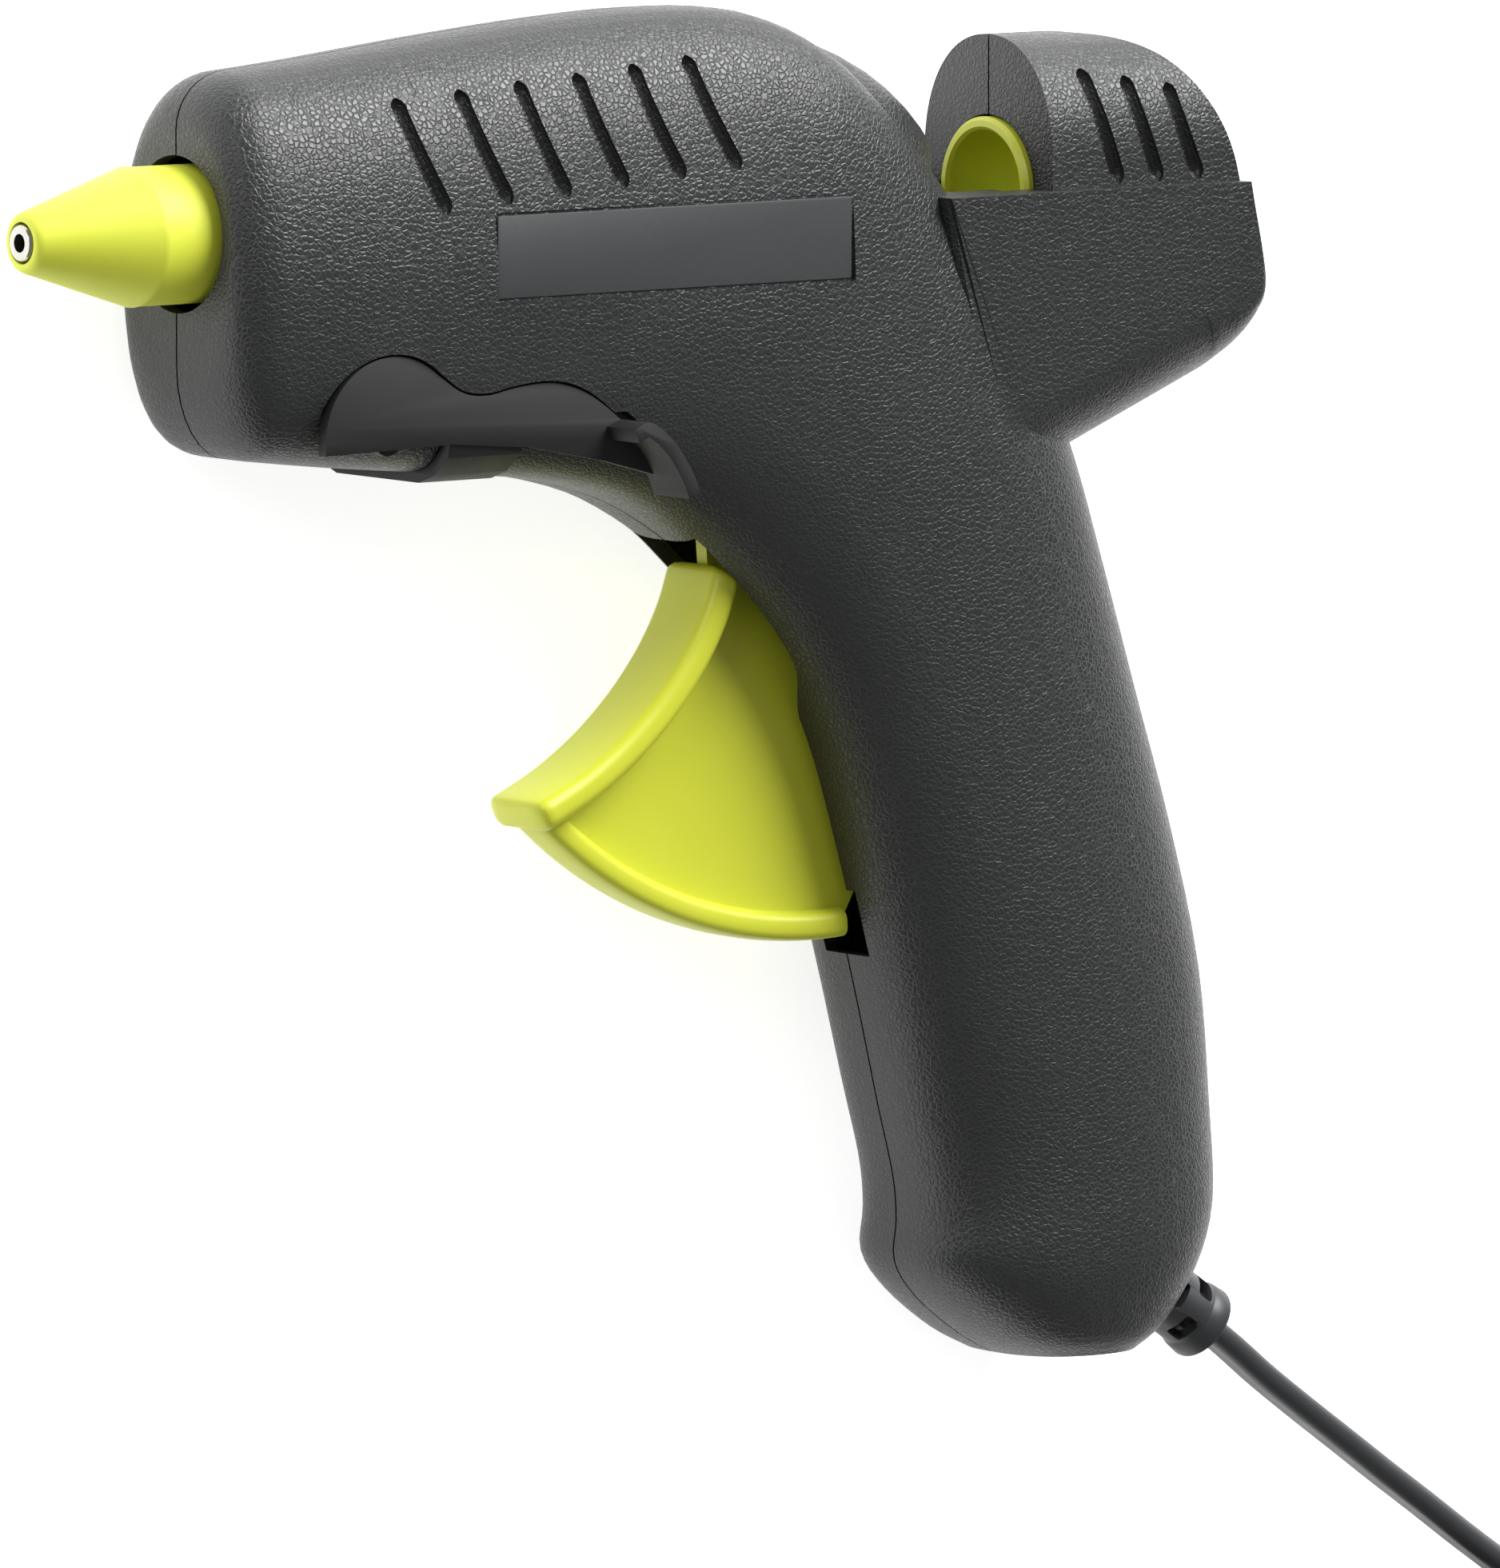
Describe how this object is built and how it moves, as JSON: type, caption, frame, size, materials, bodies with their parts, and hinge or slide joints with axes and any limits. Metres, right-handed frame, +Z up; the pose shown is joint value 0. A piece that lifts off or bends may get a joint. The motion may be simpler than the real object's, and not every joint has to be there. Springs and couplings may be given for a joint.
{
  "type": "hot glue gun",
  "caption": "Pistol-grip hot glue gun for 11 mm sticks: two casing halves, nozzle sleeve, trigger feed, fold-out stand and mains cord.",
  "frame": {"origin": "under the middle of the gun's bounding box, on the surface that the gun's right side lies on", "axes": "+X from the nozzle to the back along the glue stick's axis, +Y the gun's own up, +Z up out of the gun's left side"},
  "size_m": [0.2813, 0.3176, 0.0389],
  "materials": {
    "black_grained_abs": "fine moulded grain",
    "black_satin_plastic": "satin",
    "lime_plastic": "satin moulded",
    "lime_silicone": "matte moulded silicone",
    "brass": "machined",
    "cast_aluminium": "as cast",
    "grey_silicone": "matte",
    "heater_film": "polyimide film over a ceramic heater",
    "support_ring_plastic": "heat-proof board",
    "steel": "bright zinc",
    "cord_pvc": "soft PVC",
    "glass_sleeving": "braided glass sleeving"
  },
  "bodies": {
    "casing": {"left_shell": "black_grained_abs", "right_shell": "black_grained_abs", "nozzle_sleeve": "lime_silicone", "nozzle_tip": "steel", "melt_chamber": "cast_aluminium", "heater_element": "heater_film", "heater_clip": "steel", "front_support_ring": "support_ring_plastic", "rear_support_ring": "support_ring_plastic", "inlet_sleeve": "grey_silicone", "sleeve_clamp": "steel", "guide_tube": "lime_plastic", "trigger_pin": "steel", "return_spring": "steel", "housing_screw_1": "steel", "housing_screw_2": "steel", "housing_screw_3": "steel", "housing_screw_4": "steel", "housing_screw_5": "steel", "housing_screw_6": "steel", "strain_relief": "cord_pvc", "cord_end": "cord_pvc", "cord_clamp": "black_satin_plastic", "clamp_screw_lower": "steel", "clamp_screw_upper": "steel", "live_connector": "brass", "neutral_connector": "brass", "live_lead": "glass_sleeving", "neutral_lead": "glass_sleeving", "power_cord": "cord_pvc", "plug_lead": "cord_pvc", "cord_coil": "cord_pvc", "cord_tie": "black_satin_plastic", "plug_body": "cord_pvc", "plug_pin_lower": "steel", "plug_pin_upper": "steel"},
    "trigger": {"trigger": "lime_plastic"},
    "carriage": {"feed_carriage": "black_satin_plastic", "jaw_pin": "steel", "drive_pin": "steel"},
    "jaw": {"grip_jaw": "steel"},
    "stand": {"stand": "black_satin_plastic"}
  },
  "joints": [
    {"name": "trigger_pull", "type": "hinge", "parent": "casing", "child": "trigger", "pos_m": [0.02875, 0.03285, 0.0169], "axis": [0, 0, 1], "range_deg": [0, 20], "stiffness_Nm_per_rad": 0.25, "springref_deg": -28.65, "deforming": ["return_spring"]},
    {"name": "feed_slide", "type": "slide", "parent": "casing", "child": "carriage", "axis": [-1, 0, 0], "range_m": [0, 0.0075]},
    {"name": "jaw_bite", "type": "hinge", "parent": "carriage", "child": "jaw", "pos_m": [0.02295, 0.05585, 0.0169], "axis": [0, 0, 1], "range_deg": [0, 5], "stiffness_Nm_per_rad": 0.002, "springref_deg": -17.19},
    {"name": "stand_fold", "type": "hinge", "parent": "casing", "child": "stand", "pos_m": [-0.04875, 0.03755, 0.0169], "axis": [0, 0, -1], "range_deg": [0, 95]}
  ],
  "couplings": [
    {"joint": "feed_slide", "follows": "trigger_pull", "m_per_rad": 0.0207}
  ]
}
